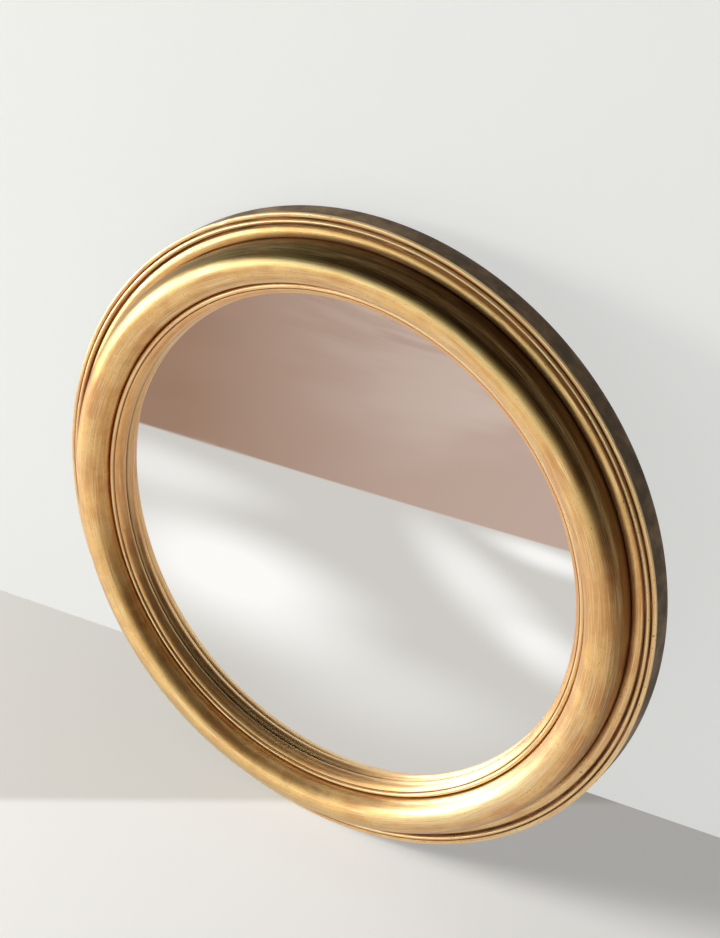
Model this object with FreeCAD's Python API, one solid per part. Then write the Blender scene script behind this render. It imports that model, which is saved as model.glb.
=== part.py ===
import FreeCAD, Part
import math
import os

# Round convex wall mirror in a gilt turned frame, in millimetres.
# The mirror stands upright: its front faces -Y, +Z is up, and the origin is
# the centre of the flush back face. r is the distance from the mirror's axis
# (the Y axis) and depth is measured forward from the back face, towards -Y.

V = FreeCAD.Vector
AXIS = V(0, 1, 0)

# --- driving dimensions -------------------------------------------------

# glass
GLASS_DIAMETER = 254.0        # a 10 inch blank
GLASS_THICKNESS = 3.0
GLASS_CURVE = 1000.0          # radius of the bulge at the front

# layers behind the glass
BOARD_THICKNESS = 5.5
CARD_THICKNESS = 0.8
PACKING_THICKNESS = 2.6       # at the glass's edge
PACKING_WIDTH = 8.0
RABBET_PLAY = 0.8             # round the glass
BOARD_PLAY = 0.5              # round the board
CARD_PLAY = 0.6               # round the card
LAYER_GAP = 0.05              # between curved faces that nearly touch

# sight slip, the innermost ring
GLASS_COVER = 1.9             # how far the slip reaches over the glass
SIGHT_OVERHANG = 0.9          # of the slip's nose past its foot
NOSE_HEIGHT = 0.9             # of the nose above the slip's foot
SLIP_BEAD_WIDTH = 2.8         # across the slip's broad bead, at its top
SLIP_HEIGHT = 6.4             # of the grooves above the slip's foot
THIN_BEAD_WIDTH = 2.2
THIN_BEAD_RISE = 1.0
SLIP_GROOVE_WIDTH = 0.5
SLIP_GROOVE_DEPTH = 0.35
SLIP_PLAY = 0.1               # between the slip and the roll round it

# front roll
ROLL_RADIUS = 9.0
ROLL_CENTRE_DEPTH = 19.1
ROLL_HOUSING = 1.9            # how deep the roll is let into the rim
ROLL_PLAY = 0.2

# rim moulding
RIM_DEPTH = 13.0              # back face to outer crest
BAND_WIDTH = 5.2
BAND_RISE = 0.8
DARK_GROOVE_WIDTH = 1.2
DARK_GROOVE_DEPTH = 0.6
RIDGE_WIDTH = 2.0
RIDGE_RISE = 1.0
THIN_GROOVE_WIDTH = 0.8
THIN_GROOVE_DEPTH = 0.6
FLAT_BAND_WIDTH = 1.3
CREST_ROUND = 0.8
SIDE_FLARE = 0.5              # the outer side leans out towards the back
BACK_BEVEL = 2.6
SHOULDER = 0.1                # the mouldings' feet lie this far below the crest

# turn buttons and their screws
BUTTON_COUNT = 4
BUTTON_FIRST_ANGLE = 45.0
BUTTON_PIVOT_INSET = 6.7      # from the rabbet's wall out to the pivot
BUTTON_REACH = 12.0           # pivot to the centre of the tip's round end
BUTTON_TAIL = 4.0             # pivot to the centre of the tail's round end
BUTTON_TIP_RADIUS = 4.0
BUTTON_TAIL_RADIUS = 4.6
BUTTON_THICKNESS = 1.2
BUTTON_GAP = 0.2              # under and over the button
RUNNING_CLEARANCE = 0.06      # radial, at each thing that turns

SCREW_NECK_RADIUS = 2.0
SCREW_SHANK_RADIUS = 1.5
SCREW_TIP_LENGTH = 2.5
SCREW_LENGTH = 9.0            # in the wood
SCREW_HEAD_RADIUS = 3.8
SCREW_HEAD_HEIGHT = 2.0
SCREW_SLOT_WIDTH = 0.8
SCREW_SLOT_DEPTH = 0.8
PILOT_CLEARANCE = 0.03
PLATE_HOLE_CLEARANCE = 0.15

# hanger
HANGER_INSET = 13.2           # from the rabbet's wall out to the pivot
PLATE_THICKNESS = 1.0
PLATE_SPAN = 26.0             # between its two screws
PLATE_END_RADIUS = 6.0
BARREL_LENGTH = 8.0
BARREL_WALL = 0.9
RING_WIRE_RADIUS = 1.1
RING_BAR = 10.0               # straight length at the pivot
RING_CORNER = 3.0
RING_LEG = 3.0
RING_STANDOFF = 0.5           # between the ring and its plate

# bumpers
BUMPER_RADIUS = 7.0
BUMPER_THICKNESS = 5.2
BUMPER_EDGE_ROUND = 0.8
BUMPER_CIRCLE_INSET = 12.5    # from the rim's widest radius in to the centre
BUMPER_ANGLE = 28.0           # each side of straight down

# --- worked-out sizes ---------------------------------------------------

glass_radius = GLASS_DIAMETER / 2
rabbet_radius = glass_radius + RABBET_PLAY
card_front = BOARD_THICKNESS + CARD_THICKNESS
glass_back_edge = card_front + PACKING_THICKNESS
glass_back_curve = GLASS_CURVE - GLASS_THICKNESS
slip_foot_radius = glass_radius - GLASS_COVER
sight_radius = slip_foot_radius - SIGHT_OVERHANG


def dome_rise(curve, radius):
    """Height of a sphere's cap over the circle of this radius."""
    return curve - math.sqrt(curve * curve - radius * radius)


glass_back_apex = glass_back_edge + dome_rise(glass_back_curve, glass_radius)
glass_apex = glass_back_apex + GLASS_THICKNESS


def glass_front(radius):
    return glass_apex - dome_rise(GLASS_CURVE, radius)


def glass_back(radius):
    return glass_back_apex - dome_rise(glass_back_curve, radius)


slip_foot = glass_front(slip_foot_radius) + LAYER_GAP
slip_top = slip_foot + SLIP_HEIGHT
slip_bead_outer = sight_radius + SLIP_BEAD_WIDTH
thin_bead_inner = slip_bead_outer + SLIP_GROOVE_WIDTH
thin_bead_outer = thin_bead_inner + THIN_BEAD_WIDTH
slip_radius = thin_bead_outer + SLIP_GROOVE_WIDTH

roll_inner = slip_radius + SLIP_PLAY
slip_ledge = slip_radius + SLIP_PLAY / 2    # of the rim's ledge under the slip
roll_middle = roll_inner + ROLL_RADIUS
roll_outer = roll_middle + ROLL_RADIUS

shoulder_depth = RIM_DEPTH - SHOULDER
roll_seat = shoulder_depth - ROLL_HOUSING
band_inner = roll_outer + ROLL_PLAY
band_outer = band_inner + BAND_WIDTH
ridge_inner = band_outer + DARK_GROOVE_WIDTH
ridge_outer = ridge_inner + RIDGE_WIDTH
flat_inner = ridge_outer + THIN_GROOVE_WIDTH
flat_outer = flat_inner + FLAT_BAND_WIDTH
crest_radius = flat_outer + CREST_ROUND
rim_radius = crest_radius + SIDE_FLARE

button_pivot_radius = rabbet_radius + BUTTON_PIVOT_INSET
bumper_circle = rim_radius - BUMPER_CIRCLE_INSET
hanger_height = rabbet_radius + HANGER_INSET
ring_offset = PLATE_THICKNESS + RING_STANDOFF + RING_WIRE_RADIUS


# --- helpers ------------------------------------------------------------

def flat_point(point):
    """A section point (r, depth) in the XY plane."""
    return V(point[0], -point[1], 0)


def section(start, *steps):
    """Closed wire through steps of one point (straight) or two (an arc)."""
    edges = []
    here = start
    for step in steps:
        if len(step) == 2:
            edges.append(Part.LineSegment(flat_point(here), flat_point(step)).toShape())
            here = step
        else:
            middle, end = (step[0], step[1]), (step[2], step[3])
            edges.append(Part.Arc(flat_point(here), flat_point(middle), flat_point(end)).toShape())
            here = end
    if here != start:
        edges.append(Part.LineSegment(flat_point(here), flat_point(start)).toShape())
    return Part.Wire(edges)


def turned(start, *steps):
    """Solid of revolution of a section about the mirror's axis."""
    face = Part.Face(section(start, *steps))
    return face.revolve(V(0, 0, 0), AXIS, 360)


def back_point(radius, angle, y=0.0):
    """Point of the back at this radius and angle, anticlockwise from +X."""
    a = math.radians(angle)
    return V(radius * math.cos(a), y, radius * math.sin(a))


def rod(radius, start, length, direction=AXIS):
    return Part.makeCylinder(radius, length, start, direction)


def pilot_hole(place):
    """Cutter for a screw hole that runs forward from the back face."""
    radius = SCREW_SHANK_RADIUS + PILOT_CLEARANCE
    return rod(radius, place, SCREW_LENGTH + PILOT_CLEARANCE, -AXIS)


def wood_screw(place, head_seat, neck_radius):
    """Slotted round-head screw with its neck standing out of the wood."""
    straight = SCREW_LENGTH - SCREW_TIP_LENGTH
    shank = rod(SCREW_SHANK_RADIUS, place, straight, -AXIS)
    tip = Part.makeCone(SCREW_SHANK_RADIUS, 0, SCREW_TIP_LENGTH, place - AXIS * straight, -AXIS)
    neck = rod(neck_radius, place, head_seat)
    # the head is a cap cut from a ball
    ball = (SCREW_HEAD_RADIUS ** 2 + SCREW_HEAD_HEIGHT ** 2) / (2 * SCREW_HEAD_HEIGHT)
    head_base = place + AXIS * head_seat
    ball_centre = head_base + AXIS * (SCREW_HEAD_HEIGHT - ball)
    head = Part.makeSphere(ball, ball_centre)
    head = head.common(rod(SCREW_HEAD_RADIUS + 1, head_base, SCREW_HEAD_HEIGHT + 1))
    slot_base = SCREW_HEAD_HEIGHT - SCREW_SLOT_DEPTH
    slot_corner = head_base + V(-SCREW_SLOT_WIDTH / 2, slot_base, -SCREW_HEAD_RADIUS)
    slot = Part.makeBox(SCREW_SLOT_WIDTH, SCREW_SLOT_DEPTH + 1, 2 * SCREW_HEAD_RADIUS, slot_corner)
    screw = shank.fuse([tip, neck, head]).cut(slot)
    return screw.removeSplitter()


# --- the pieces ---------------------------------------------------------

button_angles = [BUTTON_FIRST_ANGLE + i * 360 / BUTTON_COUNT for i in range(BUTTON_COUNT)]
button_pivots = [back_point(button_pivot_radius, angle) for angle in button_angles]
hanger_pivot = V(0, ring_offset, hanger_height)
plate_screws = {
    "left": V(-PLATE_SPAN / 2, 0, hanger_height),
    "right": V(PLATE_SPAN / 2, 0, hanger_height),
}
bumper_places = {
    "left": back_point(bumper_circle, 270 - BUMPER_ANGLE),
    "right": back_point(bumper_circle, 270 + BUMPER_ANGLE),
}


def make_rim():
    """Outer ring: back, side, crest, flat band, ridge, band, roll seat."""
    bevel_start = rim_radius - BACK_BEVEL
    crest_low = RIM_DEPTH - CREST_ROUND
    bevel_bulge = BACK_BEVEL * (1 - math.sqrt(0.5)) * 0.8
    bevel_middle = (rim_radius - bevel_bulge, bevel_bulge)
    round_in = CREST_ROUND * (1 - math.sqrt(0.5))
    ridge_middle = (ridge_inner + ridge_outer) / 2
    band_middle = (band_inner + band_outer) / 2
    rim = turned(
        (rabbet_radius, 0),
        (bevel_start, 0),
        bevel_middle + (rim_radius, BACK_BEVEL),
        (crest_radius, crest_low),
        (crest_radius - round_in, RIM_DEPTH - round_in, flat_outer, RIM_DEPTH),
        (flat_inner, shoulder_depth),
        (flat_inner - THIN_GROOVE_WIDTH / 2, shoulder_depth - THIN_GROOVE_DEPTH, ridge_outer, shoulder_depth),
        (ridge_middle, shoulder_depth + RIDGE_RISE, ridge_inner, shoulder_depth),
        (ridge_inner - DARK_GROOVE_WIDTH / 2, shoulder_depth - DARK_GROOVE_DEPTH, band_outer, shoulder_depth),
        (band_middle, shoulder_depth + BAND_RISE, band_inner, shoulder_depth),
        (band_inner, roll_seat),
        (slip_ledge, roll_seat),
        (slip_ledge, slip_foot),
        (rabbet_radius, slip_foot),
    )
    holes = [pilot_hole(place) for place in button_pivots + list(plate_screws.values())]
    return rim.cut(holes)


def make_roll():
    """Half-round ring with straight sides down to its seat in the rim."""
    return turned(
        (roll_inner, roll_seat),
        (roll_outer, roll_seat),
        (roll_outer, ROLL_CENTRE_DEPTH),
        (roll_middle, ROLL_CENTRE_DEPTH + ROLL_RADIUS, roll_inner, ROLL_CENTRE_DEPTH),
    )


def make_slip():
    """Inner ring: thin bead, groove, and the broad bead over the glass."""
    nose = slip_foot + NOSE_HEIGHT
    bead_turn = math.radians(40)
    bead_middle = (
        slip_bead_outer - SLIP_BEAD_WIDTH * math.cos(bead_turn),
        nose + (slip_top - nose) * math.sin(bead_turn) * 1.1,
    )
    thin_middle = (thin_bead_inner + thin_bead_outer) / 2
    groove_half = SLIP_GROOVE_WIDTH / 2
    groove_floor = slip_top - SLIP_GROOVE_DEPTH
    return turned(
        (slip_foot_radius, slip_foot),
        (slip_radius, slip_foot),
        (slip_radius, groove_floor),
        (thin_bead_outer, slip_top),
        (thin_middle, slip_top + THIN_BEAD_RISE, thin_bead_inner, slip_top),
        (thin_bead_inner - groove_half, groove_floor, slip_bead_outer, slip_top),
        bead_middle + (sight_radius, nose),
    )


def make_glass():
    """Bent disc of even thickness, both faces on spheres of one centre."""
    half = glass_radius / 2
    return turned(
        (0, glass_apex),
        (half, glass_front(half), glass_radius, glass_front(glass_radius)),
        (glass_radius, glass_back_edge),
        (half, glass_back(half), 0, glass_back_apex),
    )


def make_packing():
    """Strip ring whose front follows the back of the glass."""
    inner = glass_radius - PACKING_WIDTH
    middle = glass_radius - PACKING_WIDTH / 2
    return turned(
        (inner, card_front),
        (glass_radius, card_front),
        (glass_radius, glass_back(glass_radius) - LAYER_GAP),
        (middle, glass_back(middle) - LAYER_GAP, inner, glass_back(inner) - LAYER_GAP),
    )


def make_card():
    radius = rabbet_radius - CARD_PLAY
    return rod(radius, V(0, -BOARD_THICKNESS, 0), CARD_THICKNESS, -AXIS)


def make_board():
    radius = rabbet_radius - BOARD_PLAY
    return rod(radius, V(0, 0, 0), BOARD_THICKNESS, -AXIS)


def make_button(place, angle):
    """Plate with two round ends of unlike radius, joined by tangents."""
    spread = BUTTON_REACH + BUTTON_TAIL
    lean = math.asin((BUTTON_TAIL_RADIUS - BUTTON_TIP_RADIUS) / spread)
    along, across = math.sin(lean), math.cos(lean)

    def on_end(centre, radius, side):
        return V(centre - radius * along, 0, side * radius * across)

    # the tip points in along -X before the button is turned to its angle
    tip_end = V(-BUTTON_REACH - BUTTON_TIP_RADIUS, 0, 0)
    tail_end = V(BUTTON_TAIL + BUTTON_TAIL_RADIUS, 0, 0)
    tip_up = on_end(-BUTTON_REACH, BUTTON_TIP_RADIUS, 1)
    tip_down = on_end(-BUTTON_REACH, BUTTON_TIP_RADIUS, -1)
    tail_up = on_end(BUTTON_TAIL, BUTTON_TAIL_RADIUS, 1)
    tail_down = on_end(BUTTON_TAIL, BUTTON_TAIL_RADIUS, -1)
    outline = Part.Wire([
        Part.Arc(tip_up, tip_end, tip_down).toShape(),
        Part.LineSegment(tip_down, tail_down).toShape(),
        Part.Arc(tail_down, tail_end, tail_up).toShape(),
        Part.LineSegment(tail_up, tip_up).toShape(),
    ])
    plate = Part.Face(outline).extrude(AXIS * BUTTON_THICKNESS)
    hole = rod(SCREW_NECK_RADIUS + RUNNING_CLEARANCE, V(0, -1, 0), BUTTON_THICKNESS + 2)
    button = plate.cut(hole)
    # a turn about +Y takes +X towards -Z, so the angle is negated
    button.rotate(V(0, 0, 0), AXIS, -angle)
    button.translate(place + AXIS * BUTTON_GAP)
    return button


def make_button_screw(place):
    head_seat = BUTTON_THICKNESS + 2 * BUTTON_GAP
    return wood_screw(place, head_seat, SCREW_NECK_RADIUS)


def make_plate():
    """Long round-ended plate with a barrel that the ring's bar turns in."""
    half = PLATE_SPAN / 2
    up = V(0, 0, PLATE_END_RADIUS)
    centre = V(0, 0, hanger_height)
    left, right = centre - V(half, 0, 0), centre + V(half, 0, 0)
    outline = Part.Wire([
        Part.Arc(left + up, left - V(PLATE_END_RADIUS, 0, 0), left - up).toShape(),
        Part.LineSegment(left - up, right - up).toShape(),
        Part.Arc(right - up, right + V(PLATE_END_RADIUS, 0, 0), right + up).toShape(),
        Part.LineSegment(right + up, left + up).toShape(),
    ])
    plate = Part.Face(outline).extrude(AXIS * PLATE_THICKNESS)
    bore = RING_WIRE_RADIUS + RUNNING_CLEARANCE
    shell = bore + BARREL_WALL
    barrel_start = hanger_pivot - V(BARREL_LENGTH / 2, 0, 0)
    barrel = rod(shell, barrel_start, BARREL_LENGTH, V(1, 0, 0))
    web = Part.makeBox(BARREL_LENGTH, ring_offset, 2 * shell, V(-BARREL_LENGTH / 2, 0, hanger_height - shell))
    bore_start = barrel_start - V(1, 0, 0)
    bar_way = rod(bore, bore_start, BARREL_LENGTH + 2, V(1, 0, 0))
    hole_radius = SCREW_SHANK_RADIUS + PLATE_HOLE_CLEARANCE
    holes = [rod(hole_radius, place - AXIS, PLATE_THICKNESS + 2) for place in plate_screws.values()]
    return plate.fuse([barrel, web]).cut([bar_way] + holes).removeSplitter()


def make_ring():
    """D ring: straight bar, two corners, two legs and a half-round foot."""
    half = RING_BAR / 2
    foot = half + RING_CORNER
    leg_top = -RING_CORNER
    leg_low = leg_top - RING_LEG
    turn = RING_CORNER * math.sqrt(0.5)

    def at(x, z):
        return hanger_pivot + V(x, 0, z)

    path = Part.Wire([
        Part.LineSegment(at(0, 0), at(half, 0)).toShape(),
        Part.Arc(at(half, 0), at(half + turn, leg_top + turn), at(foot, leg_top)).toShape(),
        Part.LineSegment(at(foot, leg_top), at(foot, leg_low)).toShape(),
        Part.Arc(at(foot, leg_low), at(0, leg_low - foot), at(-foot, leg_low)).toShape(),
        Part.LineSegment(at(-foot, leg_low), at(-foot, leg_top)).toShape(),
        Part.Arc(at(-foot, leg_top), at(-half - turn, leg_top + turn), at(-half, 0)).toShape(),
        Part.LineSegment(at(-half, 0), at(0, 0)).toShape(),
    ])
    wire = Part.Wire([Part.Circle(hanger_pivot, V(1, 0, 0), RING_WIRE_RADIUS).toShape()])
    ring = path.makePipeShell([wire], True, False)
    print("ring volume", ring.Volume, "expected", math.pi * RING_WIRE_RADIUS ** 2 * path.Length)
    return ring


def make_bumper(place):
    """Round pad with its outer edge rounded over."""
    pad = rod(BUMPER_RADIUS, place, BUMPER_THICKNESS)
    outer = [edge for edge in pad.Edges if edge.BoundBox.YMin > BUMPER_THICKNESS - 0.01]
    return pad.makeFillet(BUMPER_EDGE_ROUND, outer)


def make_pieces():
    pieces = {
        "rim_moulding": make_rim(),
        "front_roll": make_roll(),
        "sight_slip": make_slip(),
        "mirror_glass": make_glass(),
        "glass_packing": make_packing(),
        "backing_card": make_card(),
        "back_board": make_board(),
        "hanger_plate": make_plate(),
        "hanger_ring": make_ring(),
    }
    for number, (place, angle) in enumerate(zip(button_pivots, button_angles), 1):
        pieces["turn_button_%d" % number] = make_button(place, angle)
        pieces["button_screw_%d" % number] = make_button_screw(place)
    for side, place in plate_screws.items():
        pieces["hanger_screw_" + side] = wood_screw(place, PLATE_THICKNESS, SCREW_SHANK_RADIUS)
    for side, place in bumper_places.items():
        pieces["bumper_" + side] = make_bumper(place)
    return pieces


os.makedirs("parts", exist_ok=True)
for name, shape in make_pieces().items():
    print(name, "valid", shape.isValid(), "solids", len(shape.Solids), "volume %.1f" % shape.Volume)
    shape.exportStep("parts/" + name + ".step")
print("rim radius %.2f, sight radius %.2f, slip foot %.2f, glass apex %.2f" % (
    rim_radius, sight_radius, slip_foot, glass_apex))
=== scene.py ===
import math

import bmesh
import bpy
import numpy as np
from mathutils import Matrix, Quaternion, Vector


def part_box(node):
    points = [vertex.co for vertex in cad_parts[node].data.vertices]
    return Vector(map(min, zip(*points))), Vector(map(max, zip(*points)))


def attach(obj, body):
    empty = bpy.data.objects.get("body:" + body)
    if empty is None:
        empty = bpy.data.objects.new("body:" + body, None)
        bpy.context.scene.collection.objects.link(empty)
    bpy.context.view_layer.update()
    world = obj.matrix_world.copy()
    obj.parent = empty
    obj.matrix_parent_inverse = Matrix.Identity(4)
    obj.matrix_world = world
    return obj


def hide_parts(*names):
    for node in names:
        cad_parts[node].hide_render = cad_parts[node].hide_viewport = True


# Round convex wall mirror in a worn gilt frame, leaning on a wall. Everything is in metres:
# the mirror faces -Y, +Z is up, and the origin is the centre of its flush back.
# A ring's section is given as points (r, depth): the distance from the mirror's axis and
# the distance forward from the back. An angle runs anticlockwise from +X, as seen from the front
# with +Z up.

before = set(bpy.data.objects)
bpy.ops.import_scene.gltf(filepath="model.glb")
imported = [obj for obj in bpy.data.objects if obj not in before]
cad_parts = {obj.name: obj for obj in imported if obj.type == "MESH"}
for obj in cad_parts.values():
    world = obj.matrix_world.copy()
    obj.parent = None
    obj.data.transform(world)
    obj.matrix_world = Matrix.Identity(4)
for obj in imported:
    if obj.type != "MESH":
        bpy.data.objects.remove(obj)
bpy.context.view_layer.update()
MM = 0.001


# --- sizes read from the frame --------------------------------------------------------------

def reach(node):
    """Widest radius of a round node, and its back and front depths."""
    low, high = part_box(node)
    return (high.x - low.x) / 2, -high.y, -low.y


RIM_RADIUS, _, RIDGE_DEPTH = reach("rim_moulding")
ROLL_OUTER, ROLL_SEAT, ROLL_FRONT = reach("front_roll")
SLIP_OUTER, SLIP_FOOT, SLIP_FRONT = reach("sight_slip")
GLASS_RADIUS, _, GLASS_APEX = reach("mirror_glass")
BOARD_RADIUS, _, BOARD_FRONT = reach("back_board")

# sizes of the mouldings that the frame's boxes don't give
ROLL_RADIUS = 9.0 * MM
GLASS_CURVE = 1000.0 * MM
FELT_START = 3.9 * MM
GLASS_THICKNESS = 3.0 * MM
GLASS_COVER = 1.9 * MM
SIGHT_OVERHANG = 0.9 * MM
NOSE_HEIGHT = 0.9 * MM
SLIP_BEAD = 2.8 * MM
THIN_BEAD = 2.2 * MM
SLIP_GROOVE = 0.5 * MM
SLIP_GROOVE_DEPTH = 0.35 * MM
THIN_BEAD_RISE = 1.0 * MM
RIDGE_RISE = 1.0 * MM
BAND = 5.2 * MM
BAND_RISE = 0.8 * MM
DARK_GROOVE = 1.2 * MM
RIDGE = 2.0 * MM
THIN_GROOVE = 0.8 * MM
GROOVE_DEPTH = 0.6 * MM
FLAT_BAND = 1.3 * MM
CREST_ROUND = 0.8 * MM
SIDE_FLARE = 0.5 * MM
BACK_BEVEL = 2.6 * MM
RABBET_PLAY = 0.8 * MM
LEDGE_PLAY = 0.05 * MM
SHOULDER = 0.1 * MM

SHOULDER_DEPTH = RIDGE_DEPTH - RIDGE_RISE
CREST_DEPTH = SHOULDER_DEPTH + SHOULDER
RABBET = GLASS_RADIUS + RABBET_PLAY


# --- sections and surfaces ------------------------------------------------------------------

# a section's (r, depth) is worked on as the complex number r + i depth
PLANE = np.array([1, 1j])
SECTION_SAMPLES = 8192
BEND_BLUR = 0.3 * MM


def bow(start, middle, end, count=24):
    """Points on the circle through three points, from the first to the last."""
    a, b, c = (complex(*p) for p in (start, middle, end))
    w = (c - a) / (b - a)
    centre = (b - a) * (w - abs(w) ** 2) / (2j * w.imag) + a
    turn = np.angle((c - centre) / (a - centre))
    if np.angle((b - centre) / (a - centre)) * turn < 0:
        turn -= math.copysign(math.tau, turn)
    z = centre + (a - centre) * np.exp(1j * turn * np.linspace(0, 1, count))
    return np.stack([z.real, z.imag], 1)


def closed_length(z):
    """Distance along a closed line at each of its points, and its whole length."""
    steps = np.abs(np.roll(z, -1) - z)
    return np.concatenate([[0], np.cumsum(steps)[:-1]]), steps.sum()


def even_line(z, count):
    """Closed line measured out evenly: its points, how far along each lies, and its whole length."""
    along, length = closed_length(z)
    where = np.linspace(0, length, count, endpoint=False)
    measure, ring = np.append(along, length), np.append(z, z[0])
    return np.interp(where, measure, ring.real) + 1j * np.interp(where, measure, ring.imag), where, length


def bell_average(z, length, width):
    """Closed line averaged along itself with a bell curve of this width."""
    wave = np.fft.fftfreq(len(z), length / len(z)) * math.tau
    return np.fft.ifft(np.fft.fft(z) * np.exp(-0.5 * (wave * width) ** 2))


def eased_section(corners, ease, count, care=4.0, broad=1.4 * MM):
    """A closed section with eased corners, as a dict of arrays over its points.

    The line is measured evenly, averaged along itself with a bell curve of width `ease`, and
    sampled at `count` points that lie closer together where it turns. `rise` is how far the line
    stands out of its own broad average, so it is above 0 on a ridge and below 0 in a groove."""
    even, fine, length = even_line(np.asarray(corners, float) @ PLANE, SECTION_SAMPLES)
    line = bell_average(even, length, ease)
    heading = np.roll(line, -1) - np.roll(line, 1)
    area = 0.5 * np.sum(line.real * np.roll(line.imag, -1) - line.imag * np.roll(line.real, -1))
    outward = heading / np.abs(heading) * (-1j if area > 0 else 1j)
    rise = ((line - bell_average(even, length, broad)) * outward.conj()).real
    bend = np.abs(np.angle(heading / np.roll(heading, 1)))
    bend = bell_average(bend, length, BEND_BLUR).real
    measure = np.cumsum(1.0 / len(fine) + care * np.maximum(bend, 0) / bend.sum())
    where = np.interp(np.linspace(0, measure[-1], count, endpoint=False), measure, fine)

    def pick(values):
        return np.interp(where, fine, values)

    side = pick(outward.real) + 1j * pick(outward.imag)
    side /= np.abs(side)
    return {"r": pick(line.real), "depth": pick(line.imag), "out_r": side.real,
            "out_depth": side.imag, "along": where, "rise": pick(rise), "area": area}


def fade(value, low, high):
    """0 below low, 1 above high and a smooth step between them; low may be above high."""
    t = np.clip((value - low) / (high - low), 0, 1)
    return t * t * (3 - 2 * t)


# waves of the hand work: how many go round the ring, and the span of each across it in mm
WAVES = ((3, 60), (7, 31), (13, 22), (29, 14), (53, 9), (97, 6))


def unevenness(angle, along, height, seed):
    """Gentle hand-made waves: a sum of sines round the ring and across its section."""
    draw = np.random.default_rng(seed)
    total = np.zeros((len(angle), len(along)))
    for turns, span in WAVES:
        a, b = draw.uniform(0, math.tau, 2)
        wave = np.sin(turns * angle + a)[:, None] * np.sin(along / (span * MM) * math.tau + b)[None, :]
        total += wave * height / math.sqrt(turns)
    return total


def dents(angle, section, places):
    """Sum of small bell-shaped hollows; each place is (degrees, r, depth, long, wide, deep) in mm."""
    total = np.zeros((len(angle), len(section["r"])))
    for degrees, r, depth, long, wide, deep in places:
        apart = np.angle(np.exp(1j * (angle - math.radians(degrees)))) * r / long
        off = np.hypot(section["r"] / MM - r, section["depth"] / MM - depth) / wide
        total += deep * MM * np.exp(-apart[:, None] ** 2 - off[None, :] ** 2)
    return total


def add_mesh(name, points, faces, values=None):
    """Smooth-shaded object at the origin, with a float or vector attribute for each of values."""
    mesh = bpy.data.meshes.new(name)
    mesh.vertices.add(len(points))
    mesh.vertices.foreach_set("co", np.ascontiguousarray(points, np.float32).ravel())
    sizes = [len(block[0]) for block in faces]
    loops = np.concatenate([np.asarray(block).ravel() for block in faces])
    totals = np.concatenate([np.full(len(block), size) for block, size in zip(faces, sizes)])
    mesh.loops.add(len(loops))
    mesh.loops.foreach_set("vertex_index", loops.astype(np.int32))
    mesh.polygons.add(len(totals))
    mesh.polygons.foreach_set("loop_start", (np.cumsum(totals) - totals).astype(np.int32))
    mesh.update(calc_edges=True)
    mesh.polygons.foreach_set("use_smooth", np.ones(len(totals), bool))
    for key, value in (values or {}).items():
        kind, field = ("FLOAT_VECTOR", "vector") if value.ndim == 2 else ("FLOAT", "value")
        layer = mesh.attributes.new(key, kind, "POINT")
        layer.data.foreach_set(field, np.ascontiguousarray(value, np.float32).ravel())
    mesh.validate()
    thing = bpy.data.objects.new(name, mesh)
    bpy.context.scene.collection.objects.link(thing)
    return thing


def quads(rows, columns, wrap_rows, wrap_columns, flip):
    """Quads of a grid of points, numbered row by row, closed where it wraps."""
    i = np.arange(rows if wrap_rows else rows - 1)
    j = np.arange(columns if wrap_columns else columns - 1)
    i, j = (a.ravel() for a in np.meshgrid(i, j, indexing="ij"))
    i2, j2 = (i + 1) % rows, (j + 1) % columns
    faces = np.stack([i * columns + j, i2 * columns + j, i2 * columns + j2, i * columns + j2], 1)
    return faces[:, ::-1] if flip else faces


def turned_ring(name, section, steps, lift, values):
    """Ring carried round the mirror's axis.

    A point is (r cos a, -depth, r sin a), moved along the section's own normal by lift, an array
    of steps by section points. `turn` is (r0 cos a, r0 sin a, length along the section), with r0
    the mean radius, so that a pattern can be drawn out round the ring without a seam."""
    angle = np.arange(steps) * math.tau / steps
    r = section["r"][None, :] + lift * section["out_r"][None, :]
    depth = section["depth"][None, :] + lift * section["out_depth"][None, :]
    cos, sin = np.cos(angle)[:, None], np.sin(angle)[:, None]
    points = np.stack([r * cos, -depth, r * sin], -1).reshape(-1, 3)
    mean = section["r"].mean()
    whole = np.ones_like(r)
    turn = np.stack([mean * cos * whole, mean * sin * whole, section["along"][None, :] * whole], -1)
    layers = {"turn": turn.reshape(-1, 3)}
    for key, value in values.items():
        value = np.asarray(value)
        layers[key] = (np.broadcast_to(value, r.shape) if value.ndim == 1 else value).reshape(-1)
    faces = [quads(steps, len(section["r"]), True, True, section["area"] > 0)]
    return add_mesh(name, points, faces, layers)


def turned_disc(name, r, depth, steps):
    """Disc carried round the axis from a section whose two ends lie on it, front pole first.

    A point is (r cos a, -depth, r sin a); the poles are single points with fans round them."""
    angle = np.arange(steps) * math.tau / steps
    inner_r, inner_depth = r[1:-1], depth[1:-1]
    columns = len(inner_r)
    ring = np.stack([inner_r * np.cos(angle)[:, None], -inner_depth + 0 * angle[:, None],
                     inner_r * np.sin(angle)[:, None]], -1).reshape(-1, 3)
    points = np.concatenate([ring, [[0, -depth[0], 0], [0, -depth[-1], 0]]])
    front, back = len(ring), len(ring) + 1
    row = np.arange(steps) * columns
    after = (row + columns) % (steps * columns)
    fans = np.concatenate([np.stack([np.full(steps, front), row, after], 1),
                           np.stack([np.full(steps, back), after + columns - 1, row + columns - 1], 1)])
    faces = [quads(steps, columns, True, False, True), fans]
    return add_mesh(name, points, faces)


# --- materials ------------------------------------------------------------------------------

def paint(red, green, blue):
    """A colour as seen, 0 to 255, as the linear colour that a shader takes."""
    seen = np.array([red, green, blue]) / 255
    linear = np.where(seen <= 0.04045, seen / 12.92, ((seen + 0.055) / 1.055) ** 2.4)
    return (*(float(v) for v in linear), 1.0)


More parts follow.
